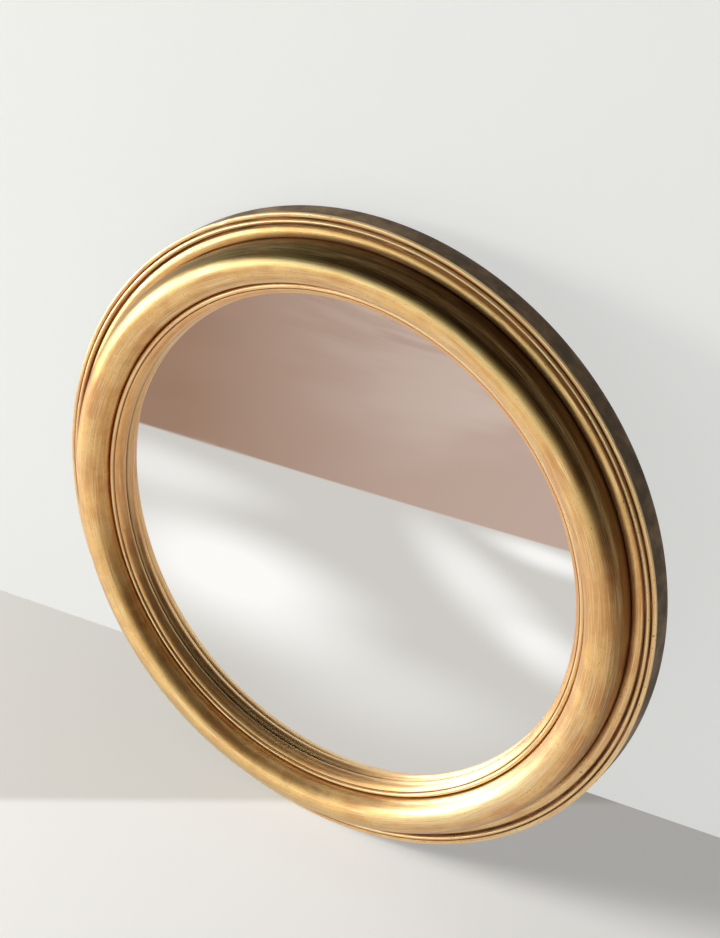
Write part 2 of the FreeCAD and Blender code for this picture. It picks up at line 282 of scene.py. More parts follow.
class Recipe:
    """A material's node tree, built by short calls that each return an output socket."""

    def __init__(self, name):
        self.material = bpy.data.materials.new(name)
        self.material.use_nodes = True
        self.tree = self.material.node_tree
        self.shader = self.tree.nodes["Principled BSDF"]

    def feed(self, socket, value):
        if isinstance(value, bpy.types.NodeSocket):
            self.tree.links.new(value, socket)
        elif value is not None:
            socket.default_value = value

    def surface(self, **inputs):
        """Sets the shader's sockets; an underscore in a name stands for a space."""
        for key, value in inputs.items():
            self.feed(self.shader.inputs[key.replace("_", " ")], value)

    def place(self):
        return self.tree.nodes.new("ShaderNodeTexCoord").outputs["Object"]

    def vector(self, name):
        node = self.tree.nodes.new("ShaderNodeAttribute")
        node.attribute_name = name
        return node.outputs["Vector"]

    def amount(self, name):
        node = self.tree.nodes.new("ShaderNodeAttribute")
        node.attribute_name = name
        return node.outputs["Fac"]

    def stretch(self, where, scale, turn=(0, 0, 0), shift=(0, 0, 0)):
        node = self.tree.nodes.new("ShaderNodeMapping")
        self.feed(node.inputs["Vector"], where)
        node.inputs["Scale"].default_value = scale
        node.inputs["Rotation"].default_value = turn
        node.inputs["Location"].default_value = shift
        return node.outputs["Vector"]

    def oval(self, where, centre, turn, half):
        """1 in the middle of an oval on the sheet and 0 at its edge, with a soft fall between."""
        node = self.tree.nodes.new("ShaderNodeMapping")
        node.vector_type = "TEXTURE"
        self.feed(node.inputs["Vector"], where)
        node.inputs["Location"].default_value = (*centre, 0)
        node.inputs["Rotation"].default_value = (0, 0, math.radians(turn))
        node.inputs["Scale"].default_value = (*half, 1)
        return self.step(self.length(node.outputs["Vector"]), 1.0, 0.1)

    def length(self, vector):
        node = self.tree.nodes.new("ShaderNodeVectorMath")
        node.operation = "LENGTH"
        self.feed(node.inputs[0], vector)
        return node.outputs["Value"]

    def split(self, vector):
        """The vector's X, Y and Z."""
        node = self.tree.nodes.new("ShaderNodeSeparateXYZ")
        self.feed(node.inputs[0], vector)
        return node.outputs

    def noise(self, where, scale=1.0, detail=4.0, rough=0.55, twist=0.0):
        node = self.tree.nodes.new("ShaderNodeTexNoise")
        self.feed(node.inputs["Vector"], where)
        node.inputs["Scale"].default_value = scale
        node.inputs["Detail"].default_value = detail
        node.inputs["Roughness"].default_value = rough
        node.inputs["Distortion"].default_value = twist
        return node.outputs["Fac"]

    def maths(self, kind, a, b=0.0, clamp=False):
        node = self.tree.nodes.new("ShaderNodeMath")
        node.operation = kind
        node.use_clamp = clamp
        self.feed(node.inputs[0], a)
        self.feed(node.inputs[1], b)
        return node.outputs[0]

    def most(self, first, *others):
        """The greatest of several values."""
        for value in others:
            first = self.maths("MAXIMUM", first, value)
        return first

    def step(self, value, low, high, to_low=0.0, to_high=1.0):
        """Smooth step of value from low to high, given out from to_low to to_high."""
        node = self.tree.nodes.new("ShaderNodeMapRange")
        node.interpolation_type = "SMOOTHSTEP"
        for socket, given in zip(node.inputs, (value, low, high, to_low, to_high)):
            self.feed(socket, given)
        return node.outputs[0]

    def blend(self, share, a, b, kind="MIX"):
        node = self.tree.nodes.new("ShaderNodeMix")
        node.data_type = "RGBA"
        node.blend_type = kind
        self.feed(node.inputs[0], share)
        self.feed(node.inputs[6], a)
        self.feed(node.inputs[7], b)
        return node.outputs[2]

    def mixed(self, share, a, b):
        node = self.tree.nodes.new("ShaderNodeMixShader")
        self.feed(node.inputs[0], share)
        self.tree.links.new(a, node.inputs[1])
        self.tree.links.new(b, node.inputs[2])
        return node.outputs[0]

    def self_lit(self, colour, share):
        """The shader, with this share of its light given out by the sheet itself.

        Only the camera, gloss and clear glass see that share, so the object gets no light from it on
        its plain colour."""
        glow = self.tree.nodes.new("ShaderNodeEmission")
        self.feed(glow.inputs["Color"], colour)
        rays = self.tree.nodes.new("ShaderNodeLightPath")
        kinds = ("Is Camera Ray", "Is Glossy Ray", "Is Transmission Ray")
        seen = self.most(*(rays.outputs[kind] for kind in kinds))
        return self.mixed(self.maths("MULTIPLY", seen, share), self.shader.outputs[0], glow.outputs[0])

    def finish(self, shader):
        self.tree.links.new(shader, self.tree.nodes["Material Output"].inputs["Surface"])

    def bump(self, height, distance, strength=1.0, under=None):
        node = self.tree.nodes.new("ShaderNodeBump")
        self.feed(node.inputs["Height"], height)
        node.inputs["Distance"].default_value = distance
        node.inputs["Strength"].default_value = strength
        self.feed(node.inputs["Normal"], under)
        return node.outputs["Normal"]


GOLD = paint(248, 196, 118)
GOLD_PALE = paint(253, 228, 178)
GOLD_DEEP = paint(218, 152, 78)
GREEN_GOLD = paint(176, 164, 104)
PAINTED_SHADE_COLOUR = paint(70, 44, 20)
BOLE = paint(142, 66, 36)
DIRT_AND_SHADE = paint(52, 34, 20)
OLIVE_SIDE = paint(122, 94, 56)
BARE_WOOD = paint(200, 162, 116)
BARE_WOOD_DARK = paint(140, 102, 64)


def gilding(name, warmth, wear_and_highlight, speck):
    """Worn gilding: streaks drawn out round the ring, green-gold patina, painted dark shade over the
    tone mask, red bole in the grooves and a darker colour in the deepest (painted shade where that
    mask holds the slip's underside and the roll's crease), pale worn edges with painted highlights
    over the edge mask, and dark specks. The outer side is dull olive and the back is bare wood,
    where the ring has those masks."""
    r = Recipe(name)
    turn, place = r.vector("turn"), r.place()
    groove, edge = r.amount("groove"), r.amount("edge")
    patina, tone = r.amount("patina"), r.amount("tone")
    olive, bare = r.amount("olive"), r.amount("bare")
    streak = r.noise(r.stretch(turn, (45, 45, 2600)), 1.0, 5.0, 0.65)
    broad_streak = r.noise(r.stretch(turn, (14, 14, 620)), 1.0, 4.0, 0.6)
    mottle = r.noise(place, 62.0, 6.0, 0.62)
    cloud = r.noise(place, 15.0, 3.0, 0.5)
    fine = r.noise(r.stretch(turn, (700, 700, 1900)), 1.0, 3.0, 0.6)

    colour = r.blend(r.step(mottle, 0.36, 0.66), GOLD_DEEP, GOLD)
    colour = r.blend(r.step(streak, 0.50, 0.66, 0.0, 0.85), colour, GOLD_PALE)
    colour = r.blend(r.step(broad_streak, 0.46, 0.30, 0.0, 0.8), colour, GOLD_DEEP)
    green = r.maths("MULTIPLY", r.step(cloud, 0.42, 0.62), 0.14)
    green = r.maths("MAXIMUM", green, r.maths("MULTIPLY", patina, r.step(mottle, 0.30, 0.58, 0.55, 1.0)))
    colour = r.blend(green, colour, GREEN_GOLD)
    colour = r.blend(warmth, colour, paint(222, 150, 84))
    # pale worn edges, and painted highlights where the edge mask holds pale patches low on the right
    rubbed_and_highlight = r.maths("MULTIPLY", edge, r.step(streak, 0.34, 0.58, 0.25, 1.0))
    colour = r.blend(r.maths("MULTIPLY", rubbed_and_highlight, wear_and_highlight), colour, GOLD_PALE)
    # painted shade: dark brown over the tone mask, in the crease by the roll and on the roll's outer
    # slope, heaviest at the top
    painted_shade = r.maths("MULTIPLY", tone, r.step(streak, 0.30, 0.66, 1.0, 0.72), True)
    colour = r.blend(painted_shade, colour, PAINTED_SHADE_COLOUR)
    red = r.maths("MULTIPLY", groove, r.step(broad_streak, 0.30, 0.62, 0.35, 1.0), True)
    colour = r.blend(red, colour, BOLE)
    # darker in the deepest grooves; where the groove mask holds the slip's underside and the roll's
    # crease, this is painted shade
    dirt = r.maths("MULTIPLY", r.step(groove, 0.55, 1.0), r.step(mottle, 0.35, 0.60, 0.35, 0.95))
    speckle = r.maths("MULTIPLY", r.step(fine, 0.62, 0.70), r.step(mottle, 0.44, 0.60, 0.1, 1.0))
    speckle = r.maths("MULTIPLY", speckle, speck)
    dark = r.maths("MAXIMUM", dirt, speckle, True)
    colour = r.blend(dark, colour, DIRT_AND_SHADE)

    side = r.blend(r.step(mottle, 0.38, 0.64), OLIVE_SIDE, paint(80, 60, 34))
    side = r.blend(r.step(streak, 0.58, 0.74, 0.0, 0.55), side, paint(158, 116, 62))
    worn_side = r.maths("MULTIPLY", olive, r.step(mottle, 0.26, 0.40, 0.82, 1.0))
    colour = r.blend(worn_side, colour, side)

    grain = r.noise(r.stretch(r.vector("grain"), (9, 130, 130)), 1.0, 5.0, 0.6, 0.4)
    wood = r.blend(r.step(grain, 0.36, 0.66), BARE_WOOD_DARK, BARE_WOOD)
    wood = r.blend(r.step(cloud, 0.42, 0.66, 0.0, 0.4), wood, paint(98, 70, 44))
    colour = r.blend(bare, colour, wood)

    dull = r.most(red, dark, r.maths("MULTIPLY", olive, 0.6), bare)
    metal = r.maths("MULTIPLY", r.maths("SUBTRACT", 1.0, dull), r.step(mottle, 0.30, 0.55, 0.84, 0.97))
    rough = r.step(mottle, 0.32, 0.68, 0.30, 0.44)
    rough = r.maths("ADD", rough, r.step(streak, 0.45, 0.75, 0.06, -0.05))
    rough = r.maths("ADD", rough, r.maths("MULTIPLY", dull, 0.24))
    gloss = r.maths("SUBTRACT", 1.0, r.most(dull, olive, tone), True)
    relief = r.maths("ADD", r.maths("MULTIPLY", streak, 0.6), r.maths("MULTIPLY", fine, 0.4))
    normal = r.bump(mottle, 0.00035, 0.30)
    normal = r.bump(relief, 0.00012, 0.45, normal)
    r.surface(Base_Color=colour, Metallic=metal, Roughness=rough, Normal=normal,
              Coat_Weight=r.maths("MULTIPLY", gloss, 0.8), Coat_Roughness=0.36)
    return r.material


def silvered_glass():
    """Clean silvered glass with a faint haze."""
    r = Recipe("silvered_glass")
    haze = r.noise(r.place(), 30.0, 3.0)
    r.surface(Base_Color=paint(240, 239, 237), Metallic=1.0,
              Roughness=r.step(haze, 0.40, 0.66, 0.012, 0.04))
    return r.material


def board_wood():
    """Thin aged board with its grain across, stains and small dark pores."""
    r = Recipe("board_wood")
    place = r.place()
    grain = r.noise(r.stretch(place, (5, 60, 70)), 1.0, 7.0, 0.6, 0.7)
    pores = r.noise(r.stretch(place, (60, 900, 1300)), 1.0, 2.0)
    stain = r.noise(place, 11.0, 4.0)
    colour = r.blend(r.step(grain, 0.34, 0.68), paint(136, 98, 62), paint(196, 154, 108))
    colour = r.blend(r.step(pores, 0.60, 0.72, 0.0, 0.7), colour, paint(66, 44, 28))
    colour = r.blend(r.step(stain, 0.54, 0.70, 0.0, 0.45), colour, paint(82, 58, 38))
    normal = r.bump(r.maths("ADD", grain, pores), 0.0004, 0.3)
    r.surface(Base_Color=colour, Roughness=r.step(grain, 0.3, 0.7, 0.74, 0.60), Normal=normal)
    return r.material


def brass(name, tone, tarnish):
    """Tarnished brass: bright metal with brown clouds, fine scratches and dirt."""
    r = Recipe(name)
    place = r.place()
    cloud = r.noise(place, 120.0, 5.0, 0.6)
    scratch = r.noise(r.stretch(place, (300, 300, 5200), (0, 0.5, 0.3)), 1.0, 2.0)
    share = r.step(cloud, 0.62 - tarnish, 0.86 - tarnish)
    colour = r.blend(share, tone, paint(96, 68, 34))
    colour = r.blend(r.step(scratch, 0.60, 0.72, 0.0, 0.5), colour, paint(232, 200, 130))
    r.surface(Base_Color=colour, Metallic=r.step(share, 0.0, 1.0, 1.0, 0.72),
              Roughness=r.step(cloud, 0.3, 0.7, 0.24, 0.48), Normal=r.bump(scratch, 0.00006, 0.5))
    return r.material


def bumper_pad():
    """Dark rubber pad with a layer of grey-brown felt on its face."""
    r = Recipe("bumper_pad")
    place = r.place()
    grain = r.noise(place, 1500.0, 3.0)
    dust = r.noise(place, 90.0, 4.0)
    fibre = r.noise(r.stretch(place, (1500, 700, 1500)), 1.0, 4.0, 0.7, 1.5)
    felted = r.step(r.split(place)[1], FELT_START - 0.05 * MM, FELT_START + 0.05 * MM)
    dark = r.blend(r.step(dust, 0.48, 0.72), paint(44, 41, 38), paint(92, 86, 78))
    soft = r.blend(r.step(fibre, 0.36, 0.66), paint(96, 84, 70), paint(146, 132, 112))
    relief = r.maths("ADD", grain, r.maths("MULTIPLY", fibre, felted))
    r.surface(Base_Color=r.blend(felted, dark, soft), Normal=r.bump(relief, 0.0002, 0.5),
              Roughness=r.most(felted, r.step(dust, 0.4, 0.7, 0.62, 0.85)))
    return r.material


def card():
    """Grey-brown card with flecks."""
    r = Recipe("card")
    place = r.place()
    fleck = r.noise(place, 900.0, 3.0)
    colour = r.blend(r.step(fleck, 0.40, 0.64), paint(140, 118, 88), paint(178, 154, 118))
    r.surface(Base_Color=colour, Roughness=r.step(fleck, 0.4, 0.6, 0.88, 0.8),
              Normal=r.bump(fleck, 0.0002, 0.3))
    return r.material


def felt():
    """Dark felt: short tangled fibres and a soft sheen."""
    r = Recipe("felt")
    place = r.place()
    fibre = r.noise(r.stretch(place, (700, 2600, 900)), 1.0, 4.0, 0.7, 1.5)
    colour = r.blend(r.step(fibre, 0.36, 0.66), paint(58, 56, 50), paint(98, 94, 86))
    r.surface(Base_Color=colour, Roughness=0.95, Sheen_Weight=0.3,
              Normal=r.bump(fibre, 0.0004, 0.6))
    return r.material


# --- the pieces -----------------------------------------------------------------------------

def finish_piece(thing, material, slot, *nodes, body="mirror_frame"):
    thing.data.materials.append(material)
    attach(thing, body)
    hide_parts(*nodes)
    return thing


def groove_and_edge(section, low, high):
    """How deep in a groove and how far out on a ridge each point lies, both from 0 to 1."""
    return fade(section["rise"], -low, -high), fade(section["rise"], low, high)


RING_STEPS = 864
angles = np.arange(RING_STEPS) * math.tau / RING_STEPS

# dents: angle in degrees, r and depth of the middle, then length, width and depth, all in mm
RIM_DENTS = (
    (-9, 155.9, 13.9, 1.2, 0.9, 0.45), (38, 159.4, 13.0, 1.6, 1.0, 0.35),
    (63, 151.0, 13.6, 1.4, 0.8, 0.25), (118, 159.4, 13.0, 2.6, 0.9, 0.30),
    (171, 155.9, 13.9, 0.9, 0.8, 0.25), (204, 159.6, 12.6, 2.2, 1.2, 0.40),
    (262, 158.8, 13.0, 1.8, 0.9, 0.30), (305, 151.4, 13.6, 1.6, 0.8, 0.20),
    (336, 159.6, 12.8, 1.1, 0.9, 0.30),
)
ROLL_DENTS = (
    (111, 146.0, 24.5, 1.4, 1.0, 0.30), (53, 141.0, 27.4, 0.8, 0.7, 0.18),
    (20, 136.0, 27.0, 1.9, 1.1, 0.15), (152, 139.0, 27.6, 2.6, 1.3, 0.15),
    (221, 143.0, 26.8, 1.8, 1.2, 0.22), (243, 138.5, 27.6, 3.4, 1.5, 0.18),
    (287, 141.0, 27.5, 2.2, 1.2, 0.16), (322, 146.5, 24.0, 1.4, 1.1, 0.20),
)
SLIP_DENTS = ((196, 125.8, 17.6, 1.2, 0.8, 0.25), (95, 128.6, 18.8, 1.0, 0.6, 0.15),
              (312, 126.0, 17.6, 1.5, 0.8, 0.18))

# patches round a ring: angle and half width in degrees, then strength; the roll's painted shade starts
# this far outside its middle in mm, further in at the top, and is full after its width
PAINTED_SHADE_START = 4.4
PAINTED_SHADE_SHIFT = 2.8
PAINTED_SHADE_WIDTH = 3.6
ROLL_PATINA = ((110, 34, 0.9), (60, 40, 0.55), (236, 16, 0.7), (262, 14, 0.5), (285, 12, 0.3))
SLIP_PATINA = ((250, 30, 1.0), (100, 30, 0.5))
# painted shade on the roll's outer slope: where it is strongest, and where it starts further in
ROLL_PAINTED_SHADE = ((72, 60, 1.0),)
PAINTED_SHADE_TOP = ((98, 46, 1.0),)
# pale patches low on the right of each ring are painted highlights
ROLL_PAINTED_HIGHLIGHT = ((318, 30, 1.0),)
RIM_PAINTED_HIGHLIGHT = ((330, 34, 1.0),)
SLIP_PAINTED_HIGHLIGHT = ((320, 34, 1.0),)


def make_rim():
    """Outer ring: rabbet, back, bevel, olive side, crest, flat band, ridge, band and roll seat."""
    crest = RIM_RADIUS - SIDE_FLARE
    flat_out = crest - CREST_ROUND
    flat_in = flat_out - FLAT_BAND
    ridge_out = flat_in - THIN_GROOVE
    ridge_in = ridge_out - RIDGE
    band_out = ridge_in - DARK_GROOVE
    band_in = band_out - BAND
    half = math.sqrt(0.5)
    low = SHOULDER_DEPTH
    section = np.concatenate([
        [(RABBET, 0.0)],
        bow((RIM_RADIUS - BACK_BEVEL, 0), (RIM_RADIUS - BACK_BEVEL * (1 - half), BACK_BEVEL * (1 - half)),
            (RIM_RADIUS, BACK_BEVEL)),
        bow((crest, CREST_DEPTH - CREST_ROUND),
            (crest - CREST_ROUND * (1 - half), CREST_DEPTH - CREST_ROUND * (1 - half)),
            (flat_out, CREST_DEPTH)),
        bow((flat_in, low), ((flat_in + ridge_out) / 2, low - GROOVE_DEPTH), (ridge_out, low)),
        bow((ridge_out, low), ((ridge_out + ridge_in) / 2, low + RIDGE_RISE), (ridge_in, low)),
        bow((ridge_in, low), ((ridge_in + band_out) / 2, low - GROOVE_DEPTH), (band_out, low)),
        bow((band_out, low), ((band_out + band_in) / 2, low + BAND_RISE), (band_in, low)),
        [(band_in, ROLL_SEAT), (SLIP_OUTER + LEDGE_PLAY, ROLL_SEAT), (SLIP_OUTER + LEDGE_PLAY, SLIP_FOOT),
         (RABBET, SLIP_FOOT)],
    ])
    s = eased_section(section, 0.11 * MM, 112, care=2.2)
    r, depth = s["r"], s["depth"]
    shown = fade(depth, 3 * MM, 6 * MM) * fade(r, band_in - 0.2 * MM, band_in + 0.6 * MM)
    groove, edge = groove_and_edge(s, 0.10 * MM, 0.42 * MM)
    lift = unevenness(angles, s["along"], 0.05 * MM, 3) * shown - dents(angles, s, RIM_DENTS) * shown
    lift = np.minimum(lift - 0.04 * MM, 0) * shown
    olive = fade(r, crest - 0.5 * MM, crest - 0.05 * MM)
    olive = olive * fade(depth, CREST_DEPTH - 0.3 * MM, CREST_DEPTH - 1.0 * MM)
    bare = fade(depth, 1.6 * MM, 0.4 * MM)
    bare = np.maximum(bare, fade(r, RABBET + 0.6 * MM, RABBET + 0.1 * MM))
    values = {
        "groove": groove * shown, "olive": olive, "bare": bare,
        # painted highlight: the edge mask also holds a pale patch low on the right
        "edge": np.maximum(edge, 0.7 * patches(RIM_PAINTED_HIGHLIGHT)[:, None]) * shown,
        "patina": 0.4 * fade(np.cos(angles - math.radians(75)), 0.3, 1.0)[:, None] * np.ones_like(lift),
        # painted shade: the tone mask darkens the ring inside the band, in the crease by the roll
        "tone": 0.8 * fade(r, band_in + 0.9 * MM, band_in) * shown,
    }
    rim = turned_ring("rim_moulding_gilt", s, RING_STEPS, lift, values)
    add_grain(rim)
    return finish_piece(rim, gilding("gilt_rim", 0.10, 0.8, 1.0), "gilt_rim", "rim_moulding")


SEGMENTS = 6


def add_grain(ring):
    """Wood grain of a ring built from segments.

    Each segment's grain runs along its chord: `grain` is (along the chord, across it, depth), in
    metres, with a shift of its own for each segment so that the grain breaks at the joints."""
    count = len(ring.data.vertices)
    flat = np.empty(count * 3, np.float32)
    ring.data.vertices.foreach_get("co", flat)
    x, y, z = flat.reshape(-1, 3).astype(float).T
    number = np.floor((np.arctan2(z, x) + math.tau) / math.tau * SEGMENTS) % SEGMENTS
    middle = (number + 0.5) / SEGMENTS * math.tau
    across = x * np.cos(middle) + z * np.sin(middle)
    chord = -x * np.sin(middle) + z * np.cos(middle)
    grain = np.stack([chord + number * 0.7, across + number * 0.31, y], 1)
    layer = ring.data.attributes.new("grain", "FLOAT_VECTOR", "POINT")
    layer.data.foreach_set("vector", grain.astype(np.float32).ravel())


def no_masks(lift):
    return {"olive": np.zeros_like(lift), "bare": np.zeros_like(lift), "tone": np.zeros_like(lift)}


def patches(places):
    """Sum over the ring's angles of bell-shaped patches: (degrees, half-width in degrees, strength)."""
    total = np.zeros(RING_STEPS)
    for degrees, width, strength in places:
        apart = np.degrees(np.angle(np.exp(1j * (angles - math.radians(degrees)))))
        total += strength * np.exp(-(apart / width) ** 2)
    return total


def make_roll():
    """Half-round ring with straight sides down to its seat."""
    inner = ROLL_OUTER - 2 * ROLL_RADIUS
    middle = ROLL_OUTER - ROLL_RADIUS
    centre_depth = ROLL_FRONT - ROLL_RADIUS
    section = np.concatenate([
        [(inner, ROLL_SEAT), (ROLL_OUTER, ROLL_SEAT)],
        bow((ROLL_OUTER, centre_depth), (middle, ROLL_FRONT), (inner, centre_depth), 90),
    ])
    s = eased_section(section, 0.15 * MM, 84, care=1.6, broad=5 * MM)
    shown = fade(s["depth"], CREST_DEPTH - 1 * MM, CREST_DEPTH + 1.5 * MM)
    lift = unevenness(angles, s["along"], 0.07 * MM, 8) * shown - dents(angles, s, ROLL_DENTS)
    lift = np.minimum(lift - 0.06 * MM, 0) * shown
    outer_slope = fade(s["r"], middle - 1 * MM, middle + 4 * MM)
    # painted shade: the tone mask darkens the outer slope towards the crease by the band, starting
    # further in at the top and heaviest there
    start = PAINTED_SHADE_START - PAINTED_SHADE_SHIFT * patches(PAINTED_SHADE_TOP)[:, None]
    painted_recess_shade = fade(s["r"][None, :] - middle, start * MM, (start + PAINTED_SHADE_WIDTH) * MM)
    around = patches(ROLL_PATINA)
    painted_highlight = 1.6 * patches(ROLL_PAINTED_HIGHLIGHT)[:, None]
    crown = 0.35 * fade(s["depth"], ROLL_FRONT - 2.5 * MM, ROLL_FRONT)
    values = {
        # bole and painted shade on the roll's low sides, in the crease by the band
        "groove": 0.8 * fade(s["depth"], CREST_DEPTH + 2.4 * MM, CREST_DEPTH + 0.2 * MM),
        # painted highlight: a pale patch low on the right, off the outer slope; the crown is worn pale
        # all round
        "edge": np.maximum(crown, painted_highlight * (1 - outer_slope)),
        "patina": around[:, None] * (0.25 + 0.75 * outer_slope)[None, :],
        **no_masks(lift),
        "tone": (0.50 + 0.62 * patches(ROLL_PAINTED_SHADE))[:, None] * painted_recess_shade,
    }
    roll = turned_ring("front_roll_gilt", s, RING_STEPS, lift, values)
    return finish_piece(roll, gilding("gilt_roll", 0.0, 0.6, 0.6), "gilt_roll", "front_roll")


def make_slip():
    """Inner ring: thin bead, groove, and the broad steep bead over the glass."""
    foot = GLASS_RADIUS - GLASS_COVER
    sight = foot - SIGHT_OVERHANG
    top = SLIP_FRONT - THIN_BEAD_RISE
    nose = SLIP_FOOT + NOSE_HEIGHT
    bead_out = sight + SLIP_BEAD
    thin_in = bead_out + SLIP_GROOVE
    thin_out = thin_in + THIN_BEAD
    floor = top - SLIP_GROOVE_DEPTH
    turn = math.radians(40)
    bead_middle = (bead_out - SLIP_BEAD * math.cos(turn), nose + (top - nose) * math.sin(turn) * 1.1)
    section = np.concatenate([
        [(foot, SLIP_FOOT), (SLIP_OUTER, SLIP_FOOT), (SLIP_OUTER, floor)],
        bow((thin_out, top), ((thin_in + thin_out) / 2, SLIP_FRONT), (thin_in, top)),
        [(thin_in - SLIP_GROOVE / 2, floor)],
        bow((bead_out, top), bead_middle, (sight, nose)),
    ])
    s = eased_section(section, 0.09 * MM, 100, care=2.0, broad=0.9 * MM)
    shown = fade(s["depth"], SLIP_FOOT + 0.3 * MM, SLIP_FOOT + 1.2 * MM)
    shown = shown * fade(s["r"], SLIP_OUTER, SLIP_OUTER - 0.3 * MM)
    groove, edge = groove_and_edge(s, 0.05 * MM, 0.25 * MM)
    # painted shade: the bead's underside over the glass is made dark through the groove mask
    under = fade(s["depth"], nose - 0.2 * MM, nose - 1.8 * MM)
    lift = unevenness(angles, s["along"], 0.03 * MM, 5) * shown - dents(angles, s, SLIP_DENTS) * shown
    lift = np.minimum(lift - 0.03 * MM, 0) * shown
    outside = fade(s["r"], SLIP_OUTER - 0.7 * MM, SLIP_OUTER - 0.2 * MM)
    values = {
        "groove": np.maximum(np.maximum(groove, under), outside),
        # painted highlight: the edge mask also holds a pale patch low on the right
        "edge": np.maximum(edge, patches(SLIP_PAINTED_HIGHLIGHT)[:, None]) * (1 - under),
        "patina": (0.5 * patches(SLIP_PATINA))[:, None] * np.ones_like(lift),
        **no_masks(lift),
    }
    slip = turned_ring("sight_slip_gilt", s, RING_STEPS, lift, values)
    return finish_piece(slip, gilding("gilt_slip", 0.35, 0.9, 0.35), "gilt_slip", "sight_slip")


def make_glass():
    """Bent disc of even thickness: both faces are spheres about one centre.

    The front is apex - (R - sqrt(R^2 - r^2)), the back the same with R less the thickness."""
    back_curve = GLASS_CURVE - GLASS_THICKNESS
    r = GLASS_RADIUS * np.sin(np.linspace(0, 0.5, 34) * math.pi)
    front = GLASS_APEX - (GLASS_CURVE - np.sqrt(GLASS_CURVE ** 2 - r ** 2))
    back = GLASS_APEX - GLASS_THICKNESS - (back_curve - np.sqrt(back_curve ** 2 - r ** 2))
    ground = 0.3 * MM
    edge_r = [GLASS_RADIUS - ground, GLASS_RADIUS, GLASS_RADIUS, GLASS_RADIUS - ground]
    edge_depth = [front[-1], front[-1] - ground, back[-1] + ground, back[-1]]
    radius = np.concatenate([r[:-1], edge_r, r[:-1][::-1]])
    depth = np.concatenate([front[:-1], edge_depth, back[:-1][::-1]])
    glass = turned_disc("mirror_glass_silvered", radius, depth, 360)
    return finish_piece(glass, silvered_glass(), "mirror_glass", "mirror_glass")


def make_board():
    """Round board with its edges rounded over."""
    ease = 0.6 * MM
    turn = np.linspace(0, 0.5, 7) * math.pi
    flat = BOARD_RADIUS - ease
    across = np.linspace(0, flat, 12)
    r = np.concatenate([across, flat + ease * np.sin(turn[1:]), flat + ease * np.cos(turn),
                        np.linspace(flat, 0, 12)[1:]])
    depth = np.concatenate([np.full(12, BOARD_FRONT), BOARD_FRONT - ease + ease * np.cos(turn[1:]),
                            ease - ease * np.sin(turn), np.zeros(11)])
    board = turned_disc("back_board_wood", r, depth, 240)
    return finish_piece(board, board_wood(), "board_wood", "back_board")


def dress(node, material):
    """Gives a CAD node its finish."""
    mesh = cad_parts[node].data
    mesh.materials.clear()
    mesh.materials.append(material)


def eased_copy(node, ease, material, slot, body):
    """The node's own shape, merged to one skin, with its sharp edges rounded over by ease."""
    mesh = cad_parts[node].data.copy()
    mesh.name = node + "_eased"
    skin = bmesh.new()
    skin.from_mesh(mesh)
    bmesh.ops.remove_doubles(skin, verts=skin.verts, dist=0.001 * MM)
    bmesh.ops.dissolve_limit(skin, angle_limit=math.radians(0.5), verts=skin.verts, edges=skin.edges)
    for face in skin.faces:
        face.smooth = True
    skin.to_mesh(mesh)
    skin.free()
    mesh.materials.clear()
    thing = bpy.data.objects.new(node + "_eased", mesh)
    bpy.context.scene.collection.objects.link(thing)
    rounding = thing.modifiers.new("rounding", "BEVEL")
    rounding.width = ease
    rounding.segments = 3
    rounding.limit_method = "ANGLE"
    rounding.angle_limit = math.radians(35)
    rounding.harden_normals = True
    return finish_piece(thing, material, slot, node, body=body)


RING_WIRE = 1.1 * MM
RING_HALF_BAR = 5.0 * MM
RING_CORNER = 3.0 * MM
RING_LEG = 3.0 * MM
RING_WEAR = 0.02 * MM
RING_BEND_BLUR = 0.25 * MM
RING_POINTS = 240
WIRE_POINTS = 28


def make_ring():
    """D ring: a round wire carried along a closed line of straights and arcs in its own plane.

    A point is line + wire * (cos b * outward + sin b * Y), with outward the line's own normal."""
    low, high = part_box("hanger_ring")
    top, middle_y = high.z - RING_WIRE, (low.y + high.y) / 2
    foot = RING_HALF_BAR + RING_CORNER
    corner = RING_CORNER * (1 - math.sqrt(0.5))
    leg_top, leg_low = top - RING_CORNER, top - RING_CORNER - RING_LEG
    slant = foot * math.sqrt(0.5)
    right = np.concatenate([
        np.stack([np.linspace(0, RING_HALF_BAR, 12), np.full(12, top)], 1)[:-1],
        bow((RING_HALF_BAR, top), (foot - corner, top - corner), (foot, leg_top), 20)[:-1],
        np.stack([np.full(8, foot), np.linspace(leg_top, leg_low, 8)], 1)[:-1],
        bow((foot, leg_low), (slant, leg_low - slant), (0, leg_low - foot), 30),
    ])
    left = right[1:-1][::-1] * (-1, 1)
    line, _, length = even_line(np.concatenate([right, left]) @ PLANE, RING_POINTS)
    line = bell_average(line, length, RING_BEND_BLUR)
    heading = np.roll(line, -1) - np.roll(line, 1)
    outward = heading / np.abs(heading) * 1j
    round_wire = np.arange(WIRE_POINTS) / WIRE_POINTS * math.tau
    worn = RING_WIRE - RING_WEAR
    place = line[:, None] + worn * np.cos(round_wire)[None, :] * outward[:, None]
    depth = middle_y + worn * np.sin(round_wire)[None, :] + 0 * place.real
    points = np.stack([place.real, depth, place.imag], -1).reshape(-1, 3)
    wire = add_mesh("hanger_ring_wire", points, [quads(RING_POINTS, WIRE_POINTS, True, True, False)])
    ring_brass = brass("brass_ring", paint(206, 168, 92), 0.02)
    return finish_piece(wire, ring_brass, "brass_ring", "hanger_ring", body="hanger_ring")


